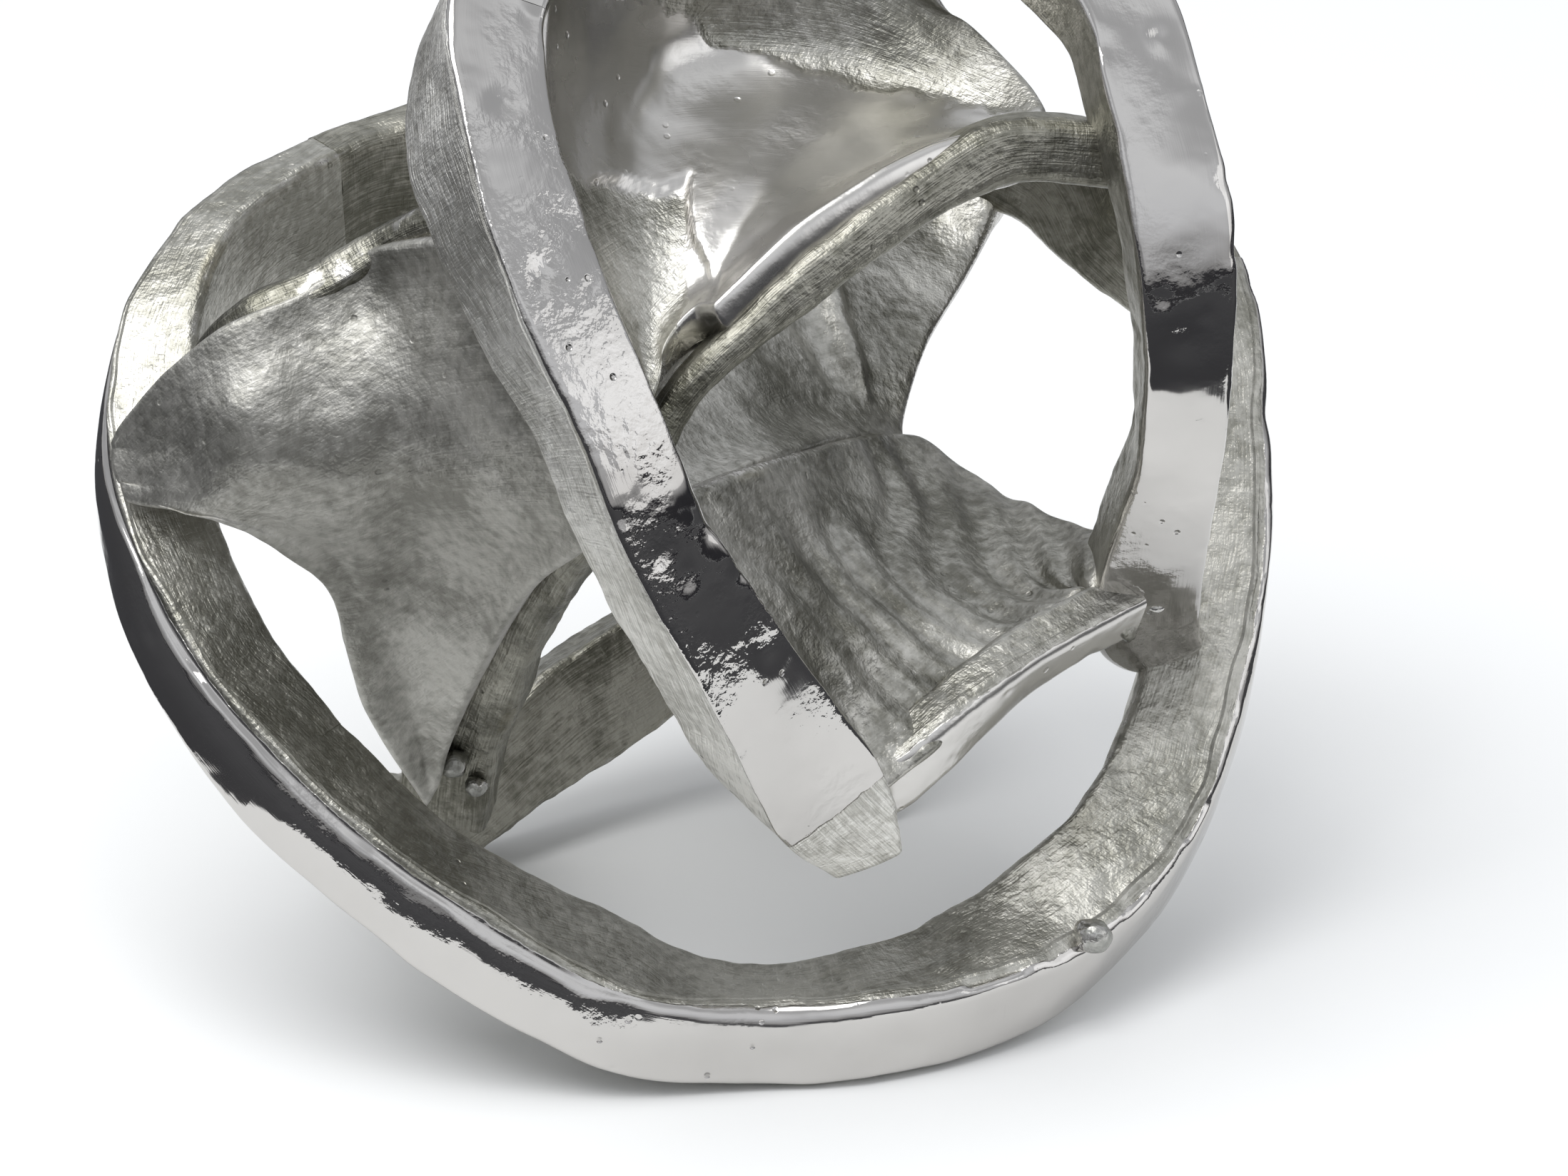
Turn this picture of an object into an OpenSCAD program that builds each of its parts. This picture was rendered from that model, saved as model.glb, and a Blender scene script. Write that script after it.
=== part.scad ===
// Cast metal knot sculpture: flat bands bent round a rough sphere and joined by curved webs.
// It stands with +Z up on three small pads, and looks best from the -Y side.

/* [Overall] */
// Width that the knot's centre lines are drawn to; the bands keep their own sizes
knot_width = 216; // [180:1:270]

/* [Bands] */
// Width of the base ring's polished face
ring_width = 17; // [12:0.5:22]
// Depth of the base ring, from its polished face inward
ring_depth = 20; // [14:0.5:24]
// Width of the front strap's and crown's polished face
strap_width = 20; // [14:0.5:24]
// Depth of the front strap, the crown and the right strap
strap_depth = 15; // [10:0.5:19]
// Width of the rims along the free edges of the webs
rim_width = 12; // [8:0.5:16]
// Depth of those rims
rim_depth = 10; // [7:0.5:14]
// Width of the bars and legs under the ring
leg_width = 20; // [15:0.5:25]
// Depth of the bars and legs under the ring
leg_depth = 14; // [9:0.5:18]
// Chamfer that stands for the worn corners of every band
corner = 1.6; // [0.8:0.1:2.6]

/* [Webs] */
// Thickness of the curved webs between the bands
web_thickness = 5; // [3:0.25:8]

/* [Pads] */
// Diameter of each rest pad
pad_diameter = 12; // [8:0.5:18]
// Thickness of each rest pad
pad_height = 1.5; // [1:0.25:4]

/* [Welds] */
// Diameter of the biggest weld nub
nub_diameter = 8; // [5:0.5:12]

/* [Hidden] */
// Width that the rows of points below are written for, and what they are multiplied by
drawn_width = 216;
grow = knot_width / drawn_width;
// Short step along a curve for working out its direction
step = 0.001;
// Sections between one row of points and the next
per_row = 3;
// Sides of the pads and of the weld nubs
pad_sides = 48;
nub_sides = 32;
// How far each resting spot would sink below the pads' tops before it is ground flat
ground_off = 1;
// Height on the drawing of a face centre that has this much metal below it at a resting spot
function rest_at(below) = (pad_height - ground_off + below) / grow;

// Row numbers at which the base ring is welded up from four castings, counted on past the last row
ring_right_rows = [2, 8];
ring_rear_rows = [8, 14];
ring_left_rows = [14, 18];
ring_front_rows = [18, 23];
// Row numbers at which the front band is welded up from four castings
strap_lower_rows = [0, 5];
strap_upper_rows = [5, 9];
crown_rows = [9, 14];
strap_right_rows = [14, 22];

// A band's row: centre of the polished face, the way that face looks, width share, depth share.
// Base ring, counterclockwise from above.
ring = [
    [12, -64, rest_at(ring_width / 2), 0, -1, 0, 1, 1],
    [35, -61, rest_at(ring_width / 2), 0.2, -1, -0.05, 1, 1.05],
    [57, -51, 9, 0.5, -0.8, -0.2, 1, 1.15],
    [75, -37, 12, 0.8, -0.5, -0.35, 0.95, 1.2],
    [91, -19, 22, 0.9, -0.3, -0.35, 0.9, 1.15],
    [101, 0, 38, 0.95, -0.2, -0.25, 0.9, 1.1],
    [107, 20, 58, 0.95, -0.1, -0.2, 0.9, 1.1],
    [108, 42, 80, 0.95, 0.1, -0.1, 1, 1],
    [102, 66, 101, 0.8, 0.5, 0, 1.3, 0.8],
    [84, 84, 109, 0.4, 0.9, 0, 1.5, 0.6],
    [66, 92, 118, 0.3, 0.9, 0, 1.1, 0.6],
    [42, 97, 121, 0.1, 1, 0, 1.2, 0.6],
    [4, 97, 122, -0.1, 1, 0.1, 1.3, 0.6],
    [-36, 84, 127, -0.3, 0.9, 0.1, 1.35, 0.6],
    [-72, 60, 125, -0.6, 0.8, 0.1, 1.35, 0.6],
    [-98, 30, 118, -0.9, 0.4, 0, 1.2, 0.8],
    [-107, -4, 98, -1, 0, 0, 1, 1],
    [-97, -31, 75, -0.8, -0.5, 0, 1, 1],
    [-76, -50, 53, -0.6, -0.8, 0, 1, 1.05],
    [-46, -63, 32, -0.35, -0.9, 0, 1, 1.1],
    [-14, -67, 14, -0.1, -1, 0, 1, 1.45]
];
// Front band: up the front, over the crown and down the right side.
front = [
    [33, -50, 37, 0.2, -0.9, -0.4, 0.7, 1.1],
    [27, -60, 54, 0.4, -0.9, 0, 1.15, 1.25],
    [18, -70, 75, 0.5, -0.8, 0.2, 1.1, 1.2],
    [8, -77, 97, 0.55, -0.8, 0.3, 1, 1.2],
    [-2, -80, 117, 0.55, -0.8, 0.3, 0.9, 1.2],
    [-9, -78, 135, 0.55, -0.8, 0.3, 0.9, 1.2],
    [-17, -72, 152, 0.55, -0.8, 0.3, 0.95, 1.3],
    [-24, -62, 168, 0.55, -0.8, 0.4, 0.95, 1.45],
    [-29, -50, 183, 0.55, -0.8, 0.5, 0.9, 1.6],
    [-31, -33, 197, 0.3, -0.6, 0.8, 0.9, 1.4],
    [-22, -8, 209, 0, -0.1, 1, 0.9, 1],
    [0, 12, 214, 0, 0.1, 1, 0.9, 1],
    [28, 18, 213, 0.1, 0.1, 1, 0.9, 1],
    [56, 8, 206, 0.4, -0.1, 0.9, 0.9, 1],
    [76, -6, 189, 0.4, -0.7, 0.6, 0.95, 1],
    [82, -18, 173, 0.3, -0.9, 0.3, 0.95, 1],
    [86, -28, 157, 0.2, -1, 0.2, 0.95, 1],
    [88, -33, 140, 0.2, -1, 0.1, 0.9, 1],
    [88, -33, 124, 0.1, -1, 0, 0.85, 1],
    [87, -28, 104, 0.1, -1, 0, 0.85, 1],
    [84, -18, 82, 0.1, -1, -0.1, 0.95, 1],
    [84, -3, 60, 0.1, -0.9, -0.4, 1, 1],
    [91, 6, 50, 0.1, -0.8, -0.6, 0.6, 0.9]
];
// Rims along the free edges of the lower, upper and left webs.
low_rim = [
    [28, -50, 46, 0, -0.8, -0.6, 1.1, 1],
    [40, -50, 55, 0, -0.9, -0.4, 1.1, 1],
    [53, -40, 62, 0, -0.9, -0.4, 1.1, 1],
    [66, -27, 66, 0, -0.9, -0.4, 1.1, 1],
    [82, -12, 68, 0, -0.9, -0.4, 1.1, 1]
];
up_rim = [
    [-6, -60, 122, 0.2, -0.9, 0.3, 0.8, 1],
    [3, -55, 134, 0.2, -0.9, 0.3, 0.7, 1],
    [15, -48, 143, 0.2, -0.9, 0.3, 0.7, 1],
    [28, -40, 151, 0.2, -0.9, 0.2, 0.8, 1],
    [42, -30, 158, 0.1, -0.9, 0.2, 0.9, 1],
    [57, -20, 162, 0, -1, 0.2, 1.1, 1],
    [76, -14, 159, 0, -1, 0.2, 1.1, 1]
];
side_rim = [
    [-100, -12, 104, -0.2, -0.6, 0.8, 0.7, 0.8],
    [-80, -28, 134, -0.2, -0.6, 0.8, 0.8, 0.8],
    [-64, -26, 142, -0.2, -0.7, 0.8, 0.8, 0.8],
    [-50, -26, 151, -0.2, -0.7, 0.8, 0.7, 0.8],
    [-30, -40, 164, -0.2, -0.7, 0.8, 0.7, 0.8]
];
// Bar from the front strap down to the left foot, and bar from that foot back to the rear leg.
bar = [
    [-13, -58, 112, -0.2, -0.9, 0.2, 0.45, 1],
    [-22, -40, 92, -0.2, -0.9, 0.2, 0.45, 1],
    [-30, -22, 72, -0.2, -0.9, 0.1, 0.5, 1],
    [-37, -6, 52, -0.2, -0.9, 0, 0.65, 1],
    [-44, 8, 32, -0.2, -1, 0, 0.9, 1],
    [-48, 14, 14, -0.2, -1, -0.2, 1, 1]
];
foot = [
    [-60, 10, rest_at(leg_width / 2), 0.3, -0.9, 0, 1, 1],
    [-47, 18, rest_at(leg_width / 2), 0.2, -0.9, 0, 1, 1],
    [-34, 28, 18, 0.1, -1, 0.1, 1.1, 1],
    [-21, 40, 24, 0.1, -1, 0.2, 1.2, 1],
    [-4, 52, 31, 0.1, -1, 0.2, 1.2, 1],
    [20, 64, 38, 0.1, -1, 0.2, 1.2, 1]
];
// Rear strap from the crown down to the ring, and rear leg from the ring down to its pad.
rear = [
    [4, 12, 213, 0, 0.1, 1, 0.9, 1],
    [4, 42, 207, 0, 0.4, 0.9, 0.95, 1],
    [3, 74, 190, 0, 0.8, 0.6, 1, 1],
    [2, 93, 160, 0, 1, 0.3, 1, 0.9],
    [1, 96, 126, 0, 1, 0, 1, 0.7]
];
leg = [
    [0, 94, 117, 0, 1, 0, 1, 0.6],
    [7, 92, 84, 0, 1, -0.2, 1, 1],
    [16, 82, 52, 0, 0.9, -0.3, 1, 1],
    [26, 66, 24, 0, 0.9, -0.3, 1, 1],
    [30, 56, rest_at(-4), 0, 1, 0, 1, 1]
];

// A web's grid: rows of points that the middle of the sheet passes through.
upper_grid = [
    [[-9, -60, 126], [-4, -50, 132], [3, -45, 138], [8, -48, 140]],
    [[-20, -52, 148], [-8, -30, 149], [8, -28, 150], [24, -38, 152]],
    [[-28, -44, 168], [-10, -10, 160], [20, -6, 158], [44, -24, 159]],
    [[-29, -32, 184], [-5, 6, 172], [30, 12, 166], [64, -8, 160]],
    [[-27, -14, 200], [0, 10, 186], [22, 16, 186], [48, 16, 172]],
    [[-20, -4, 207], [-1, 9, 207], [16, 12, 206], [34, 14, 204]]
];
rear_grid = [
    [[-8, -56, 106], [12, -22, 100], [22, 8, 91], [31, 24, 85], [36, 32, 79]],
    [[-10, -40, 116], [4, 2, 110], [17, 30, 104], [30, 46, 98], [43, 52, 93]],
    [[-14, 20, 126], [0, 45, 120], [16, 62, 113], [34, 70, 106], [52, 72, 101]],
    [[-18, 84, 130], [-2, 88, 122], [16, 90, 116], [38, 92, 112], [60, 88, 110]]
];
lower_grid = [
    [[24, -54, 50], [41, -44, 56], [55, -32, 62], [66, -19, 67], [80, -5, 69]],
    [[12, -62, 80], [28, -40, 76], [44, -24, 72], [60, -10, 70], [78, -8, 70]],
    [[2, -64, 100], [18, -30, 90], [36, -8, 80], [56, 4, 74], [78, -8, 74]],
    [[-6, -56, 112], [14, -20, 104], [38, 35, 84], [58, 28, 74], [80, 0, 77]]
];
left_grid = [
    [[-100, -12, 106], [-80, -25, 130], [-64, -21, 138], [-51, -21, 146], [-29, -47, 160]],
    [[-99, -13, 103], [-79, -34, 121], [-62, -32, 125], [-46, -34, 131], [-20, -64, 138]],
    [[-99, -14, 101], [-79, -36, 112], [-62, -36, 112], [-45, -36, 112], [-11, -66, 116]],
    [[-98, -15, 99], [-79, -34, 105], [-62, -30, 98], [-47, -22, 88], [-25, -34, 88]],
    [[-98, -16, 97], [-79, -30, 101], [-60, -20, 84], [-54, -6, 56], [-42, 2, 44]],
    [[-97, -17, 95], [-79, -28, 98], [-62, -14, 78], [-59, -2, 48], [-50, 12, 22]]
];
// Where along each resting band its pad sits, as a row number.
ring_rest = 0.3;
foot_rest = 0.5;
leg_rest = 4;
// Weld nubs: where each one's middle is, and its share of the biggest one's diameter.
nubs = [[73, -39, 19, 1], [-44, 8, 30, 0.8], [-40, 9, 25, 0.6], [84, -8, 70, 0.7]];

function unit(v) = v / norm(v);
function flat(lists) = [for (l = lists) for (v = l) v];
function blend(a, b, c, d, t) =
    (2 * b + (c - a) * t + (2 * a - 5 * b + 4 * c - d) * t * t + (3 * b - a - 3 * c + d) * t * t * t) / 2;
function row_at(rows, s, closed) =
    let (n = len(rows), i = closed ? floor(s) : max(0, min(floor(s), n - 2)), t = s - i)
    closed
        ? blend(rows[(i + n - 1) % n], rows[(i + n) % n], rows[(i + 1) % n], rows[(i + 2) % n], t)
        : blend(i > 0 ? rows[i - 1] : 2 * rows[0] - rows[1], rows[i], rows[i + 1],
            i < n - 2 ? rows[i + 2] : 2 * rows[n - 1] - rows[n - 2], t);
function place(row) = [row[0], row[1], row[2]] * grow;
function look(row) = [row[3], row[4], row[5]];

// The eight corners of a band's section at s: across the face by b, inward from it by n.
function section(rows, s, closed, width, depth) =
    let (
        row = row_at(rows, s, closed),
        t = unit(place(row_at(rows, s + step, closed)) - place(row_at(rows, s - step, closed))),
        n = unit(look(row) - (look(row) * t) * t),
        b = cross(t, n),
        w = width * row[6] / 2,
        d = depth * row[7],
        c = corner
    )
    [for (q = [[c - w, 0], [w - c, 0], [w, c], [w, d - c], [w - c, d], [c - w, d], [-w, d - c], [-w, c]])
        place(row) + b * q[0] - n * q[1]];

// A band between two row numbers, as one closed solid.
module sweep(rows, span, closed, width, depth) {
    rings = (span[1] - span[0]) * per_row;
    points = flat([for (k = [0:rings]) section(rows, span[0] + k / per_row, closed, width, depth)]);
    m = len(points) / (rings + 1);
    sides = flat([for (k = [0:rings - 1]) for (j = [0:m - 1])
        let (a = k * m + j, b = k * m + (j + 1) % m)
        [[a, b + m, b], [a, a + m, b + m]]]);
    near = [for (j = [1:m - 2]) [0, j, j + 1]];
    far = [for (j = [1:m - 2]) [rings * m, rings * m + j + 1, rings * m + j]];
    polyhedron(points, concat(sides, near, far), convexity = 6);
}

// A point of a web's middle surface, and the way that surface looks there.
function grid_at(grid, u, v) = row_at([for (r = grid) row_at(r, u, false)], v, false) * grow;
function grid_normal(grid, u, v) =
    unit(cross(grid_at(grid, u + step, v) - grid_at(grid, u - step, v),
        grid_at(grid, u, v + step) - grid_at(grid, u, v - step)));

// A web as one closed solid of even thickness.
module sheet(grid) {
    nu = (len(grid[0]) - 1) * per_row;
    nv = (len(grid) - 1) * per_row;
    half = [for (side = [1, -1]) for (j = [0:nv]) for (i = [0:nu])
        let (u = i / per_row, v = j / per_row)
        grid_at(grid, u, v) + grid_normal(grid, u, v) * side * web_thickness / 2];
    w = nu + 1;
    back = w * (nv + 1);
    faces = flat([for (j = [0:nv - 1]) for (i = [0:nu - 1])
        let (a = j * w + i, b = a + 1, c = a + w, d = c + 1)
        [[a, c, d], [a, d, b], [a + back, d + back, c + back], [a + back, b + back, d + back]]]);
    loop = concat([for (i = [0:nu - 1]) i], [for (j = [0:nv - 1]) j * w + nu],
        [for (i = [0:nu - 1]) nv * w + nu - i], [for (j = [0:nv - 1]) (nv - j) * w]);
    n = len(loop);
    edge = flat([for (k = [0:n - 1])
        let (a = loop[k], b = loop[(k + 1) % n])
        [[a, b, b + back], [a, b + back, a + back]]]);
    polyhedron(half, concat(faces, edge), convexity = 8);
}

// The middle of a band's section, halfway in from its polished face.
function heart(rows, s, closed, depth) =
    let (row = row_at(rows, s, closed))
    place(row) - unit(look(row)) * depth * row[7] / 2;

// Corners of the two big bands, which reach further out than any other piece.
function corners(rows, spans, closed, width, depth) =
    flat([for (k = [0:spans * per_row]) section(rows, k / per_row, closed, width, depth)]);
reach = concat(corners(ring, len(ring), true, ring_width, ring_depth),
    corners(front, len(front) - 1, false, strap_width, strap_depth));
function middle_of(axis) = (min([for (c = reach) c[axis]]) + max([for (c = reach) c[axis]])) / 2;
centre = [middle_of(0), middle_of(1), 0];

module ring_arc(span) sweep(ring, span, true, ring_width, ring_depth);
module front_arc(span) sweep(front, span, false, strap_width, strap_depth);
module band(rows, width, depth) sweep(rows, [0, len(rows) - 1], false, width, depth);
module rim_band(rows) band(rows, rim_width, rim_depth);
module bar_band() band(bar, leg_width, leg_depth);
module foot_band() band(foot, leg_width, leg_depth);
module leg_band() band(leg, leg_width, leg_depth);
module rear_band() band(rear, strap_width, strap_depth);

// The space below the pads' tops, which grinds the resting spots flat.
module below_pads()
    translate([-knot_width, -knot_width, -knot_width])
        cube([2 * knot_width, 2 * knot_width, knot_width + pad_height]);

module ring_front()
    color("silver") translate(-centre) difference() {
        ring_arc(ring_front_rows);
        below_pads();
    }
module ring_right()
    color("silver") translate(-centre) difference() {
        ring_arc(ring_right_rows);
        below_pads();
    }
module ring_rear() color("gray") translate(-centre) ring_arc(ring_rear_rows);
module ring_left() color("silver") translate(-centre) ring_arc(ring_left_rows);
module front_strap_lower() color("gainsboro") translate(-centre) front_arc(strap_lower_rows);
module front_strap_upper() color("gainsboro") translate(-centre) front_arc(strap_upper_rows);
module crown_bar() color("gainsboro") translate(-centre) front_arc(crown_rows);
module right_strap()
    color("gainsboro") translate(-centre) difference() {
        front_arc(strap_right_rows);
        ring_arc(ring_right_rows);
    }
module lower_rim()
    color("darkgray") translate(-centre) difference() {
        rim_band(low_rim);
        front_arc(strap_lower_rows);
        front_arc(strap_right_rows);
        ring_arc(ring_right_rows);
    }
module upper_rim()
    color("darkgray") translate(-centre) difference() {
        rim_band(up_rim);
        front_arc(strap_lower_rows);
        front_arc(strap_upper_rows);
        front_arc(strap_right_rows);
    }
module left_rim()
    color("darkgray") translate(-centre) difference() {
        rim_band(side_rim);
        front_arc(strap_upper_rows);
        ring_arc(ring_left_rows);
    }
module upper_web()
    color("lightgray") translate(-centre) difference() {
        sheet(upper_grid);
        front_arc(strap_lower_rows);
        front_arc(strap_upper_rows);
        front_arc(crown_rows);
        front_arc(strap_right_rows);
        rim_band(up_rim);
        rear_band();
    }
module rear_wall()
    color("dimgray") translate(-centre) difference() {
        sheet(rear_grid);
        bar_band();
        front_arc(strap_lower_rows);
        front_arc(strap_upper_rows);
        ring_arc(ring_rear_rows);
        rim_band(up_rim);
        sheet(lower_grid);
        leg_band();
    }
module lower_web()
    color("gray") translate(-centre) difference() {
        sheet(lower_grid);
        front_arc(strap_lower_rows);
        front_arc(strap_right_rows);
        rim_band(low_rim);
        ring_arc(ring_right_rows);
    }
module left_web()
    color("gray") translate(-centre) difference() {
        sheet(left_grid);
        front_arc(strap_lower_rows);
        front_arc(strap_upper_rows);
        ring_arc(ring_left_rows);
        rim_band(side_rim);
        bar_band();
    }
module diagonal_bar()
    color("gray") translate(-centre) difference() {
        bar_band();
        front_arc(strap_lower_rows);
        foot_band();
        below_pads();
    }
module foot_bar()
    color("gray") translate(-centre) difference() {
        foot_band();
        leg_band();
        below_pads();
    }
module rear_strap()
    color("gainsboro") translate(-centre) difference() {
        rear_band();
        front_arc(crown_rows);
        ring_arc(ring_rear_rows);
    }
module rear_leg()
    color("gainsboro") translate(-centre) difference() {
        leg_band();
        ring_arc(ring_rear_rows);
        below_pads();
    }
module weld_nubs()
    color("silver") translate(-centre) difference() {
        for (n = nubs) translate(place(n)) sphere(d = nub_diameter * n[3], $fn = nub_sides);
        ring_arc(ring_right_rows);
        bar_band();
        foot_band();
        sheet(left_grid);
        front_arc(strap_right_rows);
        rim_band(low_rim);
    }
module pad(middle)
    translate([middle[0], middle[1], 0]) cylinder(d = pad_diameter, h = pad_height, $fn = pad_sides);
module rest_pads()
    color("whitesmoke") translate(-centre) {
        pad(heart(ring, ring_rest, true, ring_depth));
        pad(heart(foot, foot_rest, false, leg_depth));
        pad(heart(leg, leg_rest, false, leg_depth));
    }

ring_front();
ring_right();
ring_rear();
ring_left();
front_strap_lower();
front_strap_upper();
crown_bar();
right_strap();
lower_rim();
upper_rim();
left_rim();
upper_web();
rear_wall();
lower_web();
left_web();
diagonal_bar();
foot_bar();
rear_strap();
rear_leg();
weld_nubs();
rest_pads();
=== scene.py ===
"""Cast metal knot sculpture: flat bands bent round a rough sphere, joined by curved webs of cast metal."""
import math

import bpy
import numpy as np
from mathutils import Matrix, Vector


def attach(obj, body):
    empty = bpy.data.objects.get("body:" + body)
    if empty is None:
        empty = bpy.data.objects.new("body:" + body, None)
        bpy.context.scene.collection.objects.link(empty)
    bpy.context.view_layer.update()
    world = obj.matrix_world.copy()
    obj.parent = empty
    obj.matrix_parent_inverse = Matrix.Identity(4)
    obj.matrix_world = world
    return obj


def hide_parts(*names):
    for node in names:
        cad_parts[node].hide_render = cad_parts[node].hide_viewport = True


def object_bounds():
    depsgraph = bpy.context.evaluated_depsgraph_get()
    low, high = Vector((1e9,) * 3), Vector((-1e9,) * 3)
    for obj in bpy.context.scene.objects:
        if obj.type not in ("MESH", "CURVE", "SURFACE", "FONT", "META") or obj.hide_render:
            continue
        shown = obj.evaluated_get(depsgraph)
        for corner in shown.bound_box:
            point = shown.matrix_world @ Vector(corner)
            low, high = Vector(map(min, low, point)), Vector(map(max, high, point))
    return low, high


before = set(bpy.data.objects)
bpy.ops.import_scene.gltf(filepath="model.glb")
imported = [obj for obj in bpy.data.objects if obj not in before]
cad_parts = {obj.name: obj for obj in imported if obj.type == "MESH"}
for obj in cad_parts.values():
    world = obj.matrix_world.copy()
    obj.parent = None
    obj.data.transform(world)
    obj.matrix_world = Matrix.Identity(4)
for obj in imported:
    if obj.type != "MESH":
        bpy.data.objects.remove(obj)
CAD_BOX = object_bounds()
MM = 0.001

# ---------------------------------------------------------------- sizes and rows of points, in millimetres
RING_WIDTH, RING_DEPTH = 17, 20
STRAP_WIDTH, STRAP_DEPTH = 20, 15
RIM_WIDTH, RIM_DEPTH = 12, 10
LEG_WIDTH, LEG_DEPTH = 20, 14
WEB_THICKNESS = 5
PAD_DIAMETER, PAD_HEIGHT = 12, 1.5
NUB_DIAMETER = 8
NUB_SHARE = 0.43  # radius before denting, as a share of the nub's diameter
CAD_CHAMFER = 1.6
CAD_ROW_STEPS = 3
STEP = 0.001  # step along a curve for its direction, in rows
REST = PAD_HEIGHT - 1
RING_CENTRE_UP = REST + RING_WIDTH / 2
LEG_CENTRE_UP = REST + LEG_WIDTH / 2
TUBE_ROWS = 28  # rings of points between two rows of a band
WEB_CELLS = 120  # points each way over a web
FLARE_REACH = 7  # how far a web's thickening reaches from a joined border
STRAP_ROW_GAP = 16  # between two rows of the front and right straps

# Each row: centre of the polished face, the way that face looks, width share, depth share.
RING = [
    [12, -64, RING_CENTRE_UP, 0, -1, 0, 1, 1], [35, -61, RING_CENTRE_UP, 0.2, -1, -0.05, 1, 1.05],
    [57, -51, 9, 0.5, -0.8, -0.2, 1, 1.15], [75, -37, 12, 0.8, -0.5, -0.35, 0.95, 1.2],
    [91, -19, 22, 0.9, -0.3, -0.35, 0.9, 1.15], [101, 0, 38, 0.95, -0.2, -0.25, 0.9, 1.1],
    [107, 20, 58, 0.95, -0.1, -0.2, 0.9, 1.1], [108, 42, 80, 0.95, 0.1, -0.1, 1, 1],
    [102, 66, 101, 0.8, 0.5, 0, 1.3, 0.8], [84, 84, 109, 0.4, 0.9, 0, 1.5, 0.6],
    [66, 92, 118, 0.3, 0.9, 0, 1.1, 0.6], [42, 97, 121, 0.1, 1, 0, 1.2, 0.6],
    [4, 97, 122, -0.1, 1, 0.1, 1.3, 0.6], [-36, 84, 127, -0.3, 0.9, 0.1, 1.35, 0.6],
    [-72, 60, 125, -0.6, 0.8, 0.1, 1.35, 0.6], [-98, 30, 118, -0.9, 0.4, 0, 1.2, 0.8],
    [-107, -4, 98, -1, 0, 0, 1, 1], [-97, -31, 75, -0.8, -0.5, 0, 1, 1],
    [-76, -50, 53, -0.6, -0.8, 0, 1, 1.05], [-46, -63, 32, -0.35, -0.9, 0, 1, 1.1],
    [-14, -67, 14, -0.1, -1, 0, 1, 1.45],
]
FRONT = [
    [33, -50, 37, 0.2, -0.9, -0.4, 0.7, 1.1], [27, -60, 54, 0.4, -0.9, 0, 1.15, 1.25],
    [18, -70, 75, 0.5, -0.8, 0.2, 1.1, 1.2], [8, -77, 97, 0.55, -0.8, 0.3, 1, 1.2],
    [-2, -80, 117, 0.55, -0.8, 0.3, 0.9, 1.2], [-9, -78, 135, 0.55, -0.8, 0.3, 0.9, 1.2],
    [-17, -72, 152, 0.55, -0.8, 0.3, 0.95, 1.3], [-24, -62, 168, 0.55, -0.8, 0.4, 0.95, 1.45],
    [-29, -50, 183, 0.55, -0.8, 0.5, 0.9, 1.6], [-31, -33, 197, 0.3, -0.6, 0.8, 0.9, 1.4],
    [-22, -8, 209, 0, -0.1, 1, 0.9, 1], [0, 12, 214, 0, 0.1, 1, 0.9, 1],
    [28, 18, 213, 0.1, 0.1, 1, 0.9, 1], [56, 8, 206, 0.4, -0.1, 0.9, 0.9, 1],
    [76, -6, 189, 0.4, -0.7, 0.6, 0.95, 1], [82, -18, 173, 0.3, -0.9, 0.3, 0.95, 1],
    [86, -28, 157, 0.2, -1, 0.2, 0.95, 1], [88, -33, 140, 0.2, -1, 0.1, 0.9, 1],
    [88, -33, 124, 0.1, -1, 0, 0.85, 1], [87, -28, 104, 0.1, -1, 0, 0.85, 1],
    [84, -18, 82, 0.1, -1, -0.1, 0.95, 1], [84, -3, 60, 0.1, -0.9, -0.4, 1, 1],
    [91, 6, 50, 0.1, -0.8, -0.6, 0.6, 0.9],
]
LOW_RIM = [
    [28, -50, 46, 0, -0.8, -0.6, 1.1, 1], [40, -50, 55, 0, -0.9, -0.4, 1.1, 1],
    [53, -40, 62, 0, -0.9, -0.4, 1.1, 1], [66, -27, 66, 0, -0.9, -0.4, 1.1, 1],
    [82, -12, 68, 0, -0.9, -0.4, 1.1, 1],
]
UP_RIM = [
    [-6, -60, 122, 0.2, -0.9, 0.3, 0.8, 1], [3, -55, 134, 0.2, -0.9, 0.3, 0.7, 1],
    [15, -48, 143, 0.2, -0.9, 0.3, 0.7, 1], [28, -40, 151, 0.2, -0.9, 0.2, 0.8, 1],
    [42, -30, 158, 0.1, -0.9, 0.2, 0.9, 1], [57, -20, 162, 0, -1, 0.2, 1.1, 1],
    [76, -14, 159, 0, -1, 0.2, 1.1, 1],
]
SIDE_RIM = [
    [-100, -12, 104, -0.2, -0.6, 0.8, 0.7, 0.8], [-80, -28, 134, -0.2, -0.6, 0.8, 0.8, 0.8],
    [-64, -26, 142, -0.2, -0.7, 0.8, 0.8, 0.8], [-50, -26, 151, -0.2, -0.7, 0.8, 0.7, 0.8],
    [-30, -40, 164, -0.2, -0.7, 0.8, 0.7, 0.8],
]
BAR = [
    [-13, -58, 112, -0.2, -0.9, 0.2, 0.45, 1], [-22, -40, 92, -0.2, -0.9, 0.2, 0.45, 1],
    [-30, -22, 72, -0.2, -0.9, 0.1, 0.5, 1], [-37, -6, 52, -0.2, -0.9, 0, 0.65, 1],
    [-44, 8, 32, -0.2, -1, 0, 0.9, 1], [-48, 14, 14, -0.2, -1, -0.2, 1, 1],
]
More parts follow.
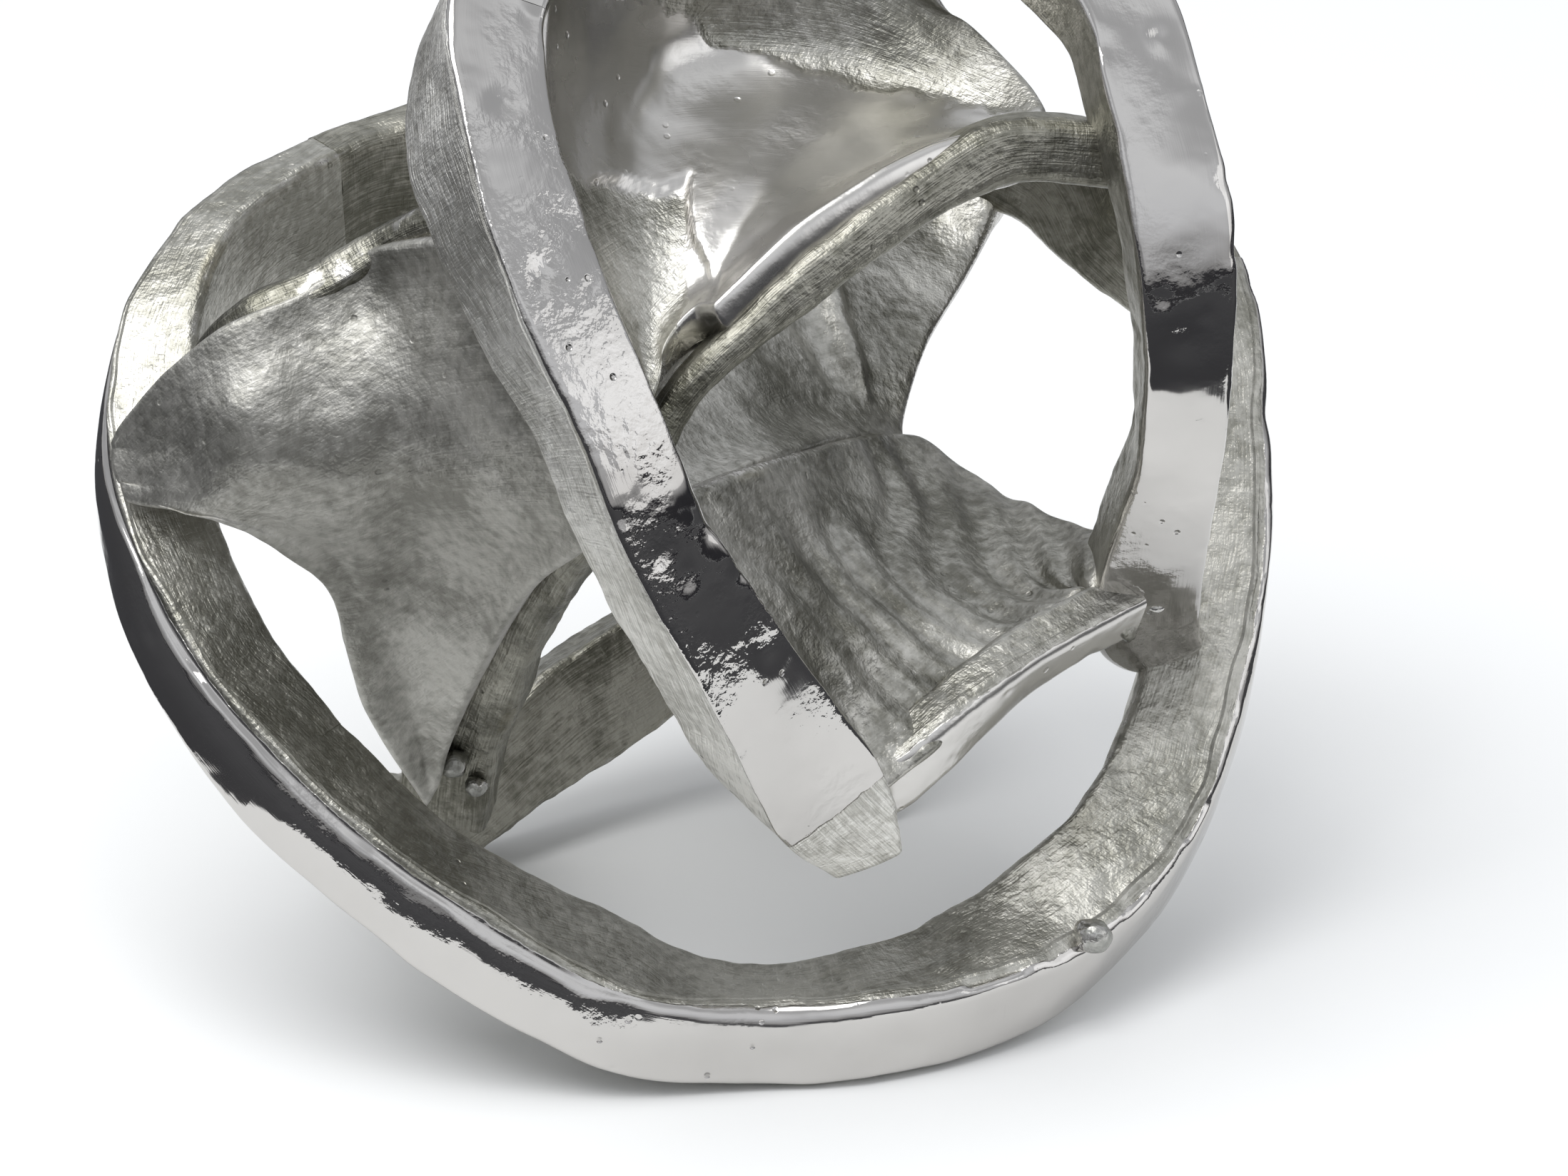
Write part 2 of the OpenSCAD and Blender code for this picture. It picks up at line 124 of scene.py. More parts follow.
FOOT = [
    [-60, 10, LEG_CENTRE_UP, 0.3, -0.9, 0, 1, 1], [-47, 18, LEG_CENTRE_UP, 0.2, -0.9, 0, 1, 1],
    [-34, 28, 18, 0.1, -1, 0.1, 1.1, 1], [-21, 40, 24, 0.1, -1, 0.2, 1.2, 1],
    [-4, 52, 31, 0.1, -1, 0.2, 1.2, 1], [20, 64, 38, 0.1, -1, 0.2, 1.2, 1],
]
REAR = [
    [4, 12, 213, 0, 0.1, 1, 0.9, 1], [4, 42, 207, 0, 0.4, 0.9, 0.95, 1], [3, 74, 190, 0, 0.8, 0.6, 1, 1],
    [2, 93, 160, 0, 1, 0.3, 1, 0.9], [1, 96, 126, 0, 1, 0, 1, 0.7],
]
LEG = [
    [0, 94, 117, 0, 1, 0, 1, 0.6], [7, 92, 84, 0, 1, -0.2, 1, 1], [16, 82, 52, 0, 0.9, -0.3, 1, 1],
    [26, 66, 24, 0, 0.9, -0.3, 1, 1], [30, 56, REST - 4, 0, 1, 0, 1, 1],
]

# Each web: rows of points that the middle of the sheet passes through.
UPPER_WEB = [
    [[-9, -60, 126], [-4, -50, 132], [3, -45, 138], [8, -48, 140]],
    [[-20, -52, 148], [-8, -30, 149], [8, -28, 150], [24, -38, 152]],
    [[-28, -44, 168], [-10, -10, 160], [20, -6, 158], [44, -24, 159]],
    [[-29, -32, 184], [-5, 6, 172], [30, 12, 166], [64, -8, 160]],
    [[-27, -14, 200], [0, 10, 186], [22, 16, 186], [48, 16, 172]],
    [[-20, -4, 207], [-1, 9, 207], [16, 12, 206], [34, 14, 204]],
]
REAR_WALL = [
    [[-8, -56, 106], [12, -22, 100], [22, 8, 91], [31, 24, 85], [36, 32, 79]],
    [[-10, -40, 116], [4, 2, 110], [17, 30, 104], [30, 46, 98], [43, 52, 93]],
    [[-14, 20, 126], [0, 45, 120], [16, 62, 113], [34, 70, 106], [52, 72, 101]],
    [[-18, 84, 130], [-2, 88, 122], [16, 90, 116], [38, 92, 112], [60, 88, 110]],
]
LOWER_WEB = [
    [[24, -50, 51], [41, -44, 56], [55, -32, 62], [66, -19, 67], [80, -5, 69]],
    [[12, -62, 80], [28, -40, 76], [44, -24, 72], [60, -10, 70], [78, -8, 70]],
    [[2, -64, 100], [18, -30, 90], [36, -8, 80], [56, 4, 74], [78, -8, 74]],
    [[-6, -56, 112], [14, -20, 104], [38, 35, 84], [58, 28, 74], [80, 0, 77]],
]
LEFT_WEB = [
    [[-100, -12, 106], [-80, -25, 130], [-64, -21, 138], [-51, -21, 146], [-29, -47, 160]],
    [[-99, -13, 103], [-79, -34, 121], [-62, -32, 125], [-46, -34, 131], [-20, -64, 138]],
    [[-99, -14, 101], [-79, -36, 112], [-62, -36, 112], [-45, -36, 112], [-11, -66, 116]],
    [[-98, -15, 99], [-79, -34, 105], [-62, -30, 98], [-47, -22, 88], [-25, -34, 88]],
    [[-98, -16, 97], [-79, -30, 101], [-60, -20, 84], [-54, -6, 56], [-42, 2, 44]],
    [[-97, -17, 95], [-79, -28, 98], [-62, -14, 78], [-59, -2, 48], [-50, 12, 22]],
]
# Each nub: centre and share of NUB_DIAMETER.
NUBS = [[73, -39, 19, 1], [-44, 8, 30, 0.8], [-40, 9, 25, 0.6], [84, -8, 70, 0.7]]

LATTICE_SIZE = 32
LATTICE = np.random.default_rng(11).random((LATTICE_SIZE,) * 3)

VIEW_ELEVATION = math.radians(25)
VIEW = np.array([0, -math.cos(VIEW_ELEVATION), math.sin(VIEW_ELEVATION)])


def unit(v):
    """Vectors divided by their lengths."""
    return v / (np.linalg.norm(v, axis=-1, keepdims=True) + 1e-12)


def ease(x, low, high):
    """Goes from 0 at low to 1 at high along 3t^2 - 2t^3."""
    t = np.clip((x - low) / (high - low), 0, 1)
    return t * t * (3 - 2 * t)


def lumps(p, size, octaves=1, seed=0):
    """Noise from -1 to 1: random numbers on a cubic lattice of that spacing, eased between its corners.
    Each further octave has half the spacing and half the height."""
    total, height, full = 0, 1.0, 0.0
    for octave in range(octaves):
        q = np.asarray(p) * 2 ** octave / size + 9.7 * seed + 3.3 * octave + 100
        cell = np.floor(q).astype(int)
        f = q - cell
        f = f * f * (3 - 2 * f)
        a, b = cell % LATTICE_SIZE, (cell + 1) % LATTICE_SIZE
        value = 0
        for ix, wx in ((a[..., 0], 1 - f[..., 0]), (b[..., 0], f[..., 0])):
            for iy, wy in ((a[..., 1], 1 - f[..., 1]), (b[..., 1], f[..., 1])):
                for iz, wz in ((a[..., 2], 1 - f[..., 2]), (b[..., 2], f[..., 2])):
                    value = value + LATTICE[ix, iy, iz] * wx * wy * wz
        total, full, height = total + height * (2 * value - 1), full + height, height / 2
    return total / full


def curve(rows, s, closed=False):
    """Catmull-Rom curve through the rows: at s = k + t it is the cubic through rows k and k + 1
    whose slopes there are half the steps between their neighbours."""
    rows = np.asarray(rows, float)
    n = len(rows)
    s = np.asarray(s, float)
    if closed:
        k = np.floor(s).astype(int)
        a, b, c, d = rows[(k - 1) % n], rows[k % n], rows[(k + 1) % n], rows[(k + 2) % n]
    else:
        k = np.clip(np.floor(s).astype(int), 0, n - 2)
        wide = np.concatenate([[2 * rows[0] - rows[1]], rows, [2 * rows[-1] - rows[-2]]])
        a, b, c, d = wide[k], wide[k + 1], wide[k + 2], wide[k + 3]
    t = (s - k).reshape((-1,) + (1,) * (rows.ndim - 1))
    return (2 * b + (c - a) * t + (2 * a - 5 * b + 4 * c - d) * t ** 2 + (3 * b - a - 3 * c + d) * t ** 3) / 2


def along(rows, s, closed):
    """Rows at s, with the band's direction, its outward look square to that, and the way across."""
    row = curve(rows, s, closed)
    t = unit(curve(rows, s + STEP, closed)[:, :3] - curve(rows, s - STEP, closed)[:, :3])
    n = unit(row[:, 3:6] - np.sum(row[:, 3:6] * t, 1, keepdims=True) * t)
    return row, t, n, np.cross(t, n)


def middle():
    """Middle of the box of the CAD's two big bands, chamfers and all, which the frame is centred on."""
    found = []
    for rows, closed, width, depth in ((RING, True, RING_WIDTH, RING_DEPTH),
                                       (FRONT, False, STRAP_WIDTH, STRAP_DEPTH)):
        spans = len(rows) if closed else len(rows) - 1
        row, _, n, b = along(rows, np.arange(spans * CAD_ROW_STEPS + 1) / CAD_ROW_STEPS, closed)
        w, d = width * row[:, 6:7] / 2, depth * row[:, 7:8]
        c = CAD_CHAMFER
        for across, inward in ((w - c, 0), (w, c), (w, d - c), (w - c, d)):
            found += [row[:, :3] + b * across - n * inward, row[:, :3] - b * across - n * inward]
    found = np.concatenate(found)
    centre = (found.min(0) + found.max(0)) / 2
    return centre * [1, 1, 0]


CENTRE = middle()


def make_mesh(name, points, faces, marks, hard_rings=()):
    """A closed mesh from points in millimetres and faces, kept inside the CAD's box and turned outwards if its
    signed volume is negative. marks are values for each point, and hard_rings are point numbers whose edges
    between each other stay crisp."""
    points = np.clip((points - CENTRE) * MM, *CAD_BOX)
    volume = 0.0
    for block in faces:
        p = points[block]
        for k in range(1, block.shape[1] - 1):
            volume += np.einsum("ij,ij->i", p[:, 0], np.cross(p[:, k], p[:, k + 1])).sum()
    if volume < 0:
        faces = [block[:, ::-1] for block in faces]
    mesh = bpy.data.meshes.new(name)
    mesh.from_pydata(points.tolist(), [], [f for block in faces for f in block.tolist()])
    mesh.update(calc_edges=True)
    mesh.polygons.foreach_set("use_smooth", np.ones(len(mesh.polygons), bool))
    for mark, values in marks.items():
        values = np.asarray(values, np.float32)
        kind, field = ("FLOAT_VECTOR", "vector") if values.ndim == 2 else ("FLOAT", "value")
        mesh.attributes.new(mark, kind, "POINT").data.foreach_set(field, values.ravel())
    if len(hard_rings):
        group = np.full(len(points), -1)
        for k, ring in enumerate(hard_rings):
            group[ring] = k
        ends = np.zeros(len(mesh.edges) * 2, int)
        mesh.edges.foreach_get("vertices", ends)
        ends = group[ends.reshape(-1, 2)]
        sharp = (ends[:, 0] >= 0) & (ends[:, 0] == ends[:, 1])
        mesh.attributes.new("sharp_edge", "BOOLEAN", "EDGE").data.foreach_set("value", sharp)
    piece = bpy.data.objects.new(name, mesh)
    bpy.context.scene.collection.objects.link(piece)
    return piece


def settle(piece, material, slot, *nodes):
    """Gives a piece its finish and puts it in the frame in place of its CAD nodes."""
    piece.data.materials.append(material)
    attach(piece, "root")
    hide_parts(*nodes)


def tube(skin):
    """Points and faces of a closed tube from rings of points, with a fan of triangles over each end.
    Also gives the point numbers of the first and last rings."""
    rings, around = skin.shape[:2]
    ring = np.arange(around)
    k = np.arange(rings - 1)[:, None] * around
    j, j2 = ring[None, :], np.roll(ring, -1)[None, :]
    quads = np.stack([k + j, k + j2, k + around + j2, k + around + j], -1).reshape(-1, 4)
    last = (rings - 1) * around
    near = rings * around
    caps = np.concatenate([
        np.stack([np.full(around, near), np.roll(ring, -1), ring], 1),
        np.stack([np.full(around, near + 1), last + ring, last + np.roll(ring, -1)], 1)])
    points = np.concatenate([skin.reshape(-1, 3), skin[:1].mean(1), skin[-1:].mean(1)])
    return points, [quads, caps], (ring, last + ring)


# Corners of a band's section, in order round it, with the quarter turn that each one makes.
CORNERS = ((-1, -1, math.pi), (1, -1, 1.5 * math.pi), (1, 1, 0), (-1, 1, 0.5 * math.pi))


def outline(half, depth, radii, counts, turn_points=7):
    """Rounded rectangles, one for each place along a band: quarter circles of the given radii at the corners,
    joined by straight sides of counts points. Gives each point's across, inward and outward direction."""
    across, inward, turned = [], [], []
    for k, (sx, sy, start) in enumerate(CORNERS):
        radius = radii[k] * np.ones_like(half)
        turn = start + np.linspace(0, math.pi / 2, turn_points)
        across.append(sx * (half - radius) + radius * np.cos(turn))
        inward.append(depth / 2 + sy * (depth / 2 - radius) + radius * np.sin(turn))
        turned.append(np.stack([np.cos(turn), np.sin(turn)], 1))
        nx, ny, first = CORNERS[(k + 1) % 4]
        next_radius = radii[(k + 1) % 4] * np.ones_like(half)
        share = (np.arange(1, counts[k] + 1) / (counts[k] + 1))[None, :]
        ends = []
        for ex, ey, er, angle in ((sx, sy, radius, start + math.pi / 2), (nx, ny, next_radius, first)):
            ends.append((ex * (half - er) + er * np.cos(angle),
                         depth / 2 + ey * (depth / 2 - er) + er * np.sin(angle)))
        across.append(ends[0][0] * (1 - share) + ends[1][0] * share)
        inward.append(ends[0][1] * (1 - share) + ends[1][1] * share)
        turned.append(np.tile([math.cos(first), math.sin(first)], (counts[k], 1)))
    return np.concatenate(across, 1), np.concatenate(inward, 1), np.concatenate(turned, 0)


def craters(skin, seed, count, low, high):
    """Dents left by the mould: at count random points of the skin, a shallow bowl of random radius from low to
    high whose depth follows a bell curve."""
    rng = np.random.default_rng(seed)
    flat = skin.reshape(-1, 3)
    move = np.zeros(len(flat))
    for pick in rng.integers(0, len(flat), count):
        radius = rng.uniform(low, high)
        near = np.linalg.norm(flat - flat[pick], axis=1) / radius
        move -= 0.16 * radius * np.exp(-near ** 2)
    return move.reshape(skin.shape[:-1])


SIDE_COUNTS = (24, 22, 16, 22)


def band(name, rows, span, width, depth, closed=False, radii=(2.2, 2.2, 2.2, 2.2), wave=1.3, dent=0.7,
         grit=0.2, shine=1.0, crown=0.5, tilt=0.0, blunt=(0, 0), bubbles=4, seed=1, sculpt=None):
    """A band of metal: a rounded rectangle carried along its rows, with its edges waved and its skin dented.
    The polished face falls away inward as crown times the square of how far a point lies across it from tilt.
    The skin moves along its outward direction by slow dents on all sides, by grit off the polished face, by a
    gentle swell on it, and by bubbles craters for each row. blunt is how long the two ends take to shrink along
    a quarter ellipse, and sculpt adds a move of its own and sets the polish."""
    s = np.linspace(span[0], span[1], int(round((span[1] - span[0]) * TUBE_ROWS)) + 1)
    row, t, n, b = along(rows, s, closed)
    length = np.concatenate([[0], np.cumsum(np.linalg.norm(np.diff(row[:, :3], axis=0), axis=1))])
    shrink = np.ones(len(s))
    for far, reach in ((length, blunt[0]), (length[-1] - length, blunt[1])):
        if reach:
            shrink = shrink * np.sqrt(np.clip(1 - (1 - np.clip(far / reach, 0.06, 1)) ** 2, 0, 1))
    half = width * row[:, 6:7] / 2 + wave * 0.5 * lumps(row[:, :3], 22, 2, seed)[:, None]
    deep = depth * row[:, 7:8]
    radii = tuple(np.asarray(r) * (1 + 0.45 * lumps(row[:, :3], 13, 2, seed + 3 + k))[:, None]
                  for k, r in enumerate(radii))
    across, inward, turned = outline(half, deep, radii, SIDE_COUNTS)
    fall = (across / half - tilt) ** 2 * np.clip(1 - inward / (deep / 2), 0, 1)
    inward = inward + crown * fall
    across = across * shrink[:, None]
    inward = deep / 2 + (inward - deep / 2) * shrink[:, None]
    out = b[:, None, :] * turned[None, :, :1] - n[:, None, :] * turned[None, :, 1:]
    skin = row[:, None, :3] + b[:, None, :] * across[..., None] - n[:, None, :] * inward[..., None]
    face = shine * ease(-turned[:, 1], 0.25, 0.9)[None, :] * np.ones_like(across)
    move = -dent * (0.5 + 0.5 * lumps(skin, 15, 2, seed + 8)) * (1.3 - 0.6 * face)
    move += grit * (1 - face) * (lumps(skin, 3.2, 2, seed + 5) + 1.2 * lumps(skin, 8, 1, seed + 6))
    move += 0.24 * face * lumps(skin, 11, 2, seed + 7)
    move += craters(skin, seed + 40 + int(span[0]), int(bubbles * (span[1] - span[0])), 0.9, 3.2)
    side = np.linalg.norm(np.roll(skin, -1, 1) - skin, axis=2)
    around = np.cumsum(side, 1) - side
    facts = {"s": s[:, None] * np.ones_like(across), "across": across, "inward": inward, "face": face,
             "half": half, "turned": turned, "skin": skin}
    polish = face
    if sculpt:
        extra, polish = sculpt(facts)
        move = move + extra
    skin = skin + out * move[..., None]
    points, faces, ends = tube(skin)
    off_edge = (across - np.sign(across) * half) ** 2 + (inward - np.where(inward < deep / 2, 0, deep)) ** 2
    worn = np.exp(-off_edge / 3.5)
    lay = np.stack([length[:, None] + 0 * across, around, 0 * across], -1)

    def with_caps(values):
        flat = values.reshape((-1,) + values.shape[2:])
        return np.concatenate([flat, flat[:1], flat[-1:]])

    marks = {"polish": with_caps(polish), "worn": with_caps(worn), "lay": with_caps(lay)}
    return make_mesh(name, points, faces, marks, ends)


def spaced(spans):
    """Places from 0 to spans that lie closer together near both ends."""
    x = np.linspace(0, 1, WEB_CELLS)
    return spans * (0.7 * x + 0.3 * (1 - np.cos(math.pi * x)) / 2)


def sheet(name, grid, joined, dent=1.1, grit=0.22, polish=0.0, flare=3.5, seed=1, sculpt=None):
    """A web: its middle surface is a Catmull-Rom curve both ways through the grid, and each skin lies off it
    along its normal by half the thickness, more by a bell curve near a joined border, and less by a quarter
    ellipse at the outline, where the two skins meet. joined names the borders that meet other castings: l and
    r are the ends of the rows, b the first row and t the last. sculpt adds a move of its own and sets the
    polish."""
    grid = np.asarray(grid, float)
    u = spaced(grid.shape[1] - 1)
    v = spaced(grid.shape[0] - 1)
    lines = np.stack([curve(line, u) for line in grid])
    mid = curve(lines, v)
    du, dv = np.gradient(mid, axis=1), np.gradient(mid, axis=0)
    normal = unit(np.cross(du, dv))
    step_u = np.linalg.norm(np.diff(mid, axis=1), axis=2)
    step_v = np.linalg.norm(np.diff(mid, axis=0), axis=2)
    from_l = np.concatenate([np.zeros((len(v), 1)), np.cumsum(step_u, 1)], 1)
    from_b = np.concatenate([np.zeros((1, len(u))), np.cumsum(step_v, 0)], 0)
    borders = {"l": from_l, "r": from_l[:, -1:] - from_l, "b": from_b, "t": from_b[-1:] - from_b}
    nearest = np.minimum.reduce(list(borders.values()))
    weld = np.minimum.reduce([borders[side] for side in joined])
    half = WEB_THICKNESS / 2 + flare * np.exp(-(weld / FLARE_REACH) ** 2)
    half = half * np.sqrt(np.clip(1 - (1 - np.clip(nearest / (WEB_THICKNESS * 0.55), 0, 1)) ** 2, 0, 1))
    skins = []
    polished = []
    for sign in (1, -1):
        skin = mid + sign * normal * half[..., None]
        rough = 1 - 0.75 * polish
        move = dent * lumps(skin, 19, 2, seed + 2) + grit * rough * lumps(skin, 3.5, 2, seed + 4)
        move = move + (0.45 - 0.35 * polish) * lumps(skin, 8, 1, seed + 5)
        facts = {"u": u[None, :] + 0 * half, "v": v[:, None] + 0 * half, "skin": skin,
                 "front": sign * np.sign((normal @ VIEW).mean())}
        shine = polish + 0 * half
        if sculpt:
            extra, shine = sculpt(facts, shine)
            move = move + extra
        fade = ease(nearest, 0, 2.0)
        skins.append(skin + sign * normal * (move * fade)[..., None])
        polished.append(shine)
    rows_n, cols_n = half.shape
    upper = np.arange(rows_n * cols_n).reshape(rows_n, cols_n)
    lower = upper.copy()
    inside = (rows_n - 2, cols_n - 2)
    lower[1:-1, 1:-1] = rows_n * cols_n + np.arange(inside[0] * inside[1]).reshape(inside)

    def joined_up(a, b):
        inner = b[1:-1, 1:-1]
        return np.concatenate([a.reshape((-1,) + a.shape[2:]), inner.reshape((-1,) + inner.shape[2:])])

    faces = []
    for index, turn in ((upper, 1), (lower, -1)):
        quad = np.stack([index[:-1, :-1], index[:-1, 1:], index[1:, 1:], index[1:, :-1]], -1).reshape(-1, 4)
        faces.append(quad[:, ::turn])
    lay = np.stack([from_l, from_b, 0 * from_l], -1)
    worn = np.exp(-(nearest / 2.2) ** 2)
    marks = {"polish": joined_up(*polished), "worn": joined_up(worn, worn), "lay": joined_up(lay, lay)}
    return make_mesh(name, joined_up(*skins), faces, marks)


def ball(name, centre, radius, seed, rows_n=28, cols_n=40):
    """A weld nub: a sphere, radius times (cos a cos e, sin a cos e, sin e), 15% lower and dented."""
    e = np.linspace(-math.pi / 2, math.pi / 2, rows_n)[1:-1, None]
    a = np.linspace(0, 2 * math.pi, cols_n, endpoint=False)[None, :]
    way = np.stack([np.cos(a) * np.cos(e), np.sin(a) * np.cos(e), np.sin(e) + 0 * a], -1)
    skin = np.array(centre) + radius * way * [1, 1, 0.85]
    skin = skin + way * (0.3 * radius * lumps(skin, 3.5, 2, seed))[..., None]
    points, faces, _ = tube(skin)
    marks = {"polish": np.full(len(points), 0.45), "worn": np.zeros(len(points)), "lay": points}
    return make_mesh(name, points, faces, marks)


def disc(name, centre, diameter, height, cols_n=64):
    """A rest pad: a profile of radius against height, rounded by 0.3 mm at both rims, turned about its axis."""
    radius = diameter / 2
    soft = 0.3
    rounding = [(radius - soft, 0), (radius - 0.3 * soft, 0.3 * soft), (radius, soft)]
    lower = [(0.35 * radius, 0), (0.7 * radius, 0)] + rounding
    profile = lower + [(r, height - z) for r, z in reversed(lower)]
    r, z = np.array(profile).T
    a = np.linspace(0, 2 * math.pi, cols_n, endpoint=False)
    skin = np.stack([np.outer(r, np.cos(a)), np.outer(r, np.sin(a)), np.outer(z, np.ones(cols_n))], -1)
    skin = skin + [centre[0], centre[1], 0]
    points, faces, _ = tube(skin)
    marks = {"polish": np.zeros(len(points)), "worn": np.zeros(len(points)), "lay": points}
    return make_mesh(name, points, faces, marks)


# ---------------------------------------------------------------- finishes
class Value:
    """A socket whose sums and products are written as ordinary Python."""

    def __init__(self, finish, socket):
        self.finish, self.socket = finish, socket

    def _with(self, operation, first, second):
        return self.finish.add("Math", {"operation": operation}, {0: first, 1: second})

    def __add__(self, other): return self._with("ADD", self, other)
    def __radd__(self, other): return self._with("ADD", other, self)
    def __sub__(self, other): return self._with("SUBTRACT", self, other)
    def __rsub__(self, other): return self._with("SUBTRACT", other, self)
    def __mul__(self, other): return self._with("MULTIPLY", self, other)
    def __rmul__(self, other): return self._with("MULTIPLY", other, self)


class Finish:
    """A material's nodes. add() takes a node's type, its settings, then the values or links of its inputs."""

    def __init__(self, name, home=None):
        self.material = home or bpy.data.materials.new(name)
        self.material.use_nodes = True
        self.tree = self.material.node_tree
        self.tree.nodes.clear()
        self.spot = self.add("TexCoord", {}, {}, "Object")

    def add(self, kind, settings, inputs, output=0):
        node = self.tree.nodes.new("ShaderNode" + kind)
        for key, value in settings.items():
            if key == "stops":
                ramp = node.color_ramp
                while len(ramp.elements) < len(value):
                    ramp.elements.new(0.5)
                for element, (place, colour) in zip(ramp.elements, value):
                    element.position, element.color = place, colour
            else:
                setattr(node, key, value)
        for key, value in inputs.items():
            if isinstance(value, Value):
                self.tree.links.new(value.socket, node.inputs[key])
            else:
                node.inputs[key].default_value = value
        return Value(self, node.outputs[output])

    def noise(self, scale, detail=2.0, where=None):
        """Noise from 0 to 1."""
        return self.add("TexNoise", {}, {"Vector": where or self.spot, "Scale": scale, "Detail": detail}, "Fac")

    def cells(self, scale):
        """How far a point lies from the nearest of many random points."""
        return self.add("TexVoronoi", {}, {"Vector": self.spot, "Scale": scale}, "Distance")

    def mark(self, name, output="Fac"):
        """A mesh's own value at each point."""
        return self.add("Attribute", {"attribute_name": name}, {}, output)

    def stretched(self, where, scale):
        """Places scaled differently each way."""
        return self.add("Mapping", {}, {"Vector": where, "Scale": scale})

    def between(self, value, low, high):
        """0 below low, 1 above high, eased between them."""
        return self.add("MapRange", {"interpolation_type": "SMOOTHSTEP"},
                        {"Value": value, "From Min": low, "From Max": high})

    def mix(self, share, first, second):
        """A colour mixed from two by share."""
        return self.add("Mix", {"data_type": "RGBA"}, {0: share, 6: first, 7: second}, 2)

    def done(self, **inputs):
        """The material, with its shader's inputs set or linked."""
        named = {key.replace("_", " "): value for key, value in inputs.items()}
        shader = self.add("BsdfPrincipled", {}, named)
        out = self.tree.nodes.new("ShaderNodeOutputMaterial")
        self.tree.links.new(shader.socket, out.inputs["Surface"])
        return self.material


# Noise scales, in cells per metre; the brush lines' are in cells per millimetre along a piece and round it.
GRAIN, SAND, PEEL, RAGGED, HOLES, FINE = 1300, 480, 420, 260, 210, 1500
SWELL, PEEL_PATCHES, HOLE_PATCHES, PATCHES, STAINS, SMUDGES = 95, 70, 55, 42, 30, 180
BRUSHED, CROSSED = (0.09, 2.6, 1.0), (2.4, 0.12, 1.0)
# TARNISH is a yellow stain; the second colour is the near-black that the pinholes are darkened with.
TARNISH, PIT_DARK = (0.30, 0.27, 0.18, 1), (0.10, 0.095, 0.085, 1)


def cast_metal(name, satin_dark, satin_light, bright=(0.58, 0.565, 0.545), satin_rough=0.38, brush=0.5,
               pits=0.5, gloss=0.055, peel=0.12):
    """Nickelled cast aluminium: bright where the mark named polish is high, elsewhere sandy satin with grain
    and brush lines along the piece. Over both go slow patches of tone, pinholes, worn bright corners and a
    little yellow tarnish. gloss is the polish's roughness, and peel its orange-peel height in millimetres."""
    f = Finish(name)
    polish, worn = f.mark("polish"), f.mark("worn")
    lay = f.mark("lay", "Vector")
    patch = f.noise(PATCHES, 4)
    grain = f.noise(GRAIN, 3)
    sand = f.noise(SAND, 3)
    lines = f.noise(1.0, 2, f.stretched(lay, BRUSHED))
    cross = f.noise(1.0, 2, f.stretched(lay, CROSSED))
    edge = f.noise(RAGGED, 3)
    mask = f.between(polish + (edge - 0.5) * 0.55 + (patch - 0.5) * 0.35, 0.42, 0.58)
    wear = f.between(worn + (edge - 0.5) * 0.9, 0.62, 0.95) * (1 - mask)
    pit = f.between(f.cells(HOLES), 0.16, 0.07) * f.between(f.noise(HOLE_PATCHES, 2), 0.52, 0.66) * pits
    tarnish = f.between(f.noise(STAINS, 3), 0.56, 0.74) * f.between(worn, 0.02, 0.5) * (1 - mask)
    tone = f.between(patch + (sand - 0.5) * 0.5 + (lines - 0.5) * brush * 0.6, 0.30, 0.70)
    satin = f.mix(tone, satin_dark + (1,), satin_light + (1,))
    satin = f.mix(tarnish * 0.4, satin, TARNISH)
    satin = f.mix(wear * 0.75, satin, bright + (1,))
    dull = tuple(0.8 * c for c in bright)
    shiny = f.mix(f.between(patch, 0.35, 0.75) * 0.35, bright + (1,), dull + (1,))
    colour = f.mix(mask, satin, shiny)
    # The pinholes are darkened towards a near-black colour.
    colour = f.mix(f.between(pit, 0.2, 0.7) * 0.6, colour, PIT_DARK)
    rough = (satin_rough + (grain - 0.5) * 0.22 + (patch - 0.5) * 0.30) * (1 - mask) \
        + mask * (gloss + 0.12 * f.between(patch, 0.5, 0.8)) - wear * 0.14 + pit * 0.2
    rough_skin = (sand - 0.5) * 0.34 + (grain - 0.5) * 0.16 \
        + (lines - 0.5) * 0.20 * brush + (cross - 0.5) * 0.12 * brush
    soft_skin = (f.noise(SWELL, 2) - 0.5) * 0.30 + (lines - 0.5) * 0.012 \
        + (f.noise(PEEL, 3) - 0.5) * f.between(f.noise(PEEL_PATCHES, 2), 0.40, 0.60) * peel
    height = rough_skin * (1 - mask) + soft_skin * mask + mask * 0.10 - pit * 0.5
    normal = f.add("Bump", {}, {"Strength": 1.0, "Distance": MM, "Height": height})
    return f.done(Base_Color=colour, Roughness=rough, Metallic=1.0, Normal=normal)


def rubber(name):
    """Clear grey rubber with a fine grain."""
    f = Finish(name)
    grain = f.noise(FINE, 3)
    colour = f.mix(f.between(f.noise(SMUDGES, 3), 0.4, 0.7), (0.55, 0.55, 0.53, 1), (0.66, 0.66, 0.64, 1))
    normal = f.add("Bump", {}, {"Strength": 0.6, "Distance": MM, "Height": grain * 0.1})
    return f.done(Base_Color=colour, Roughness=0.55 + grain * 0.2, Normal=normal)


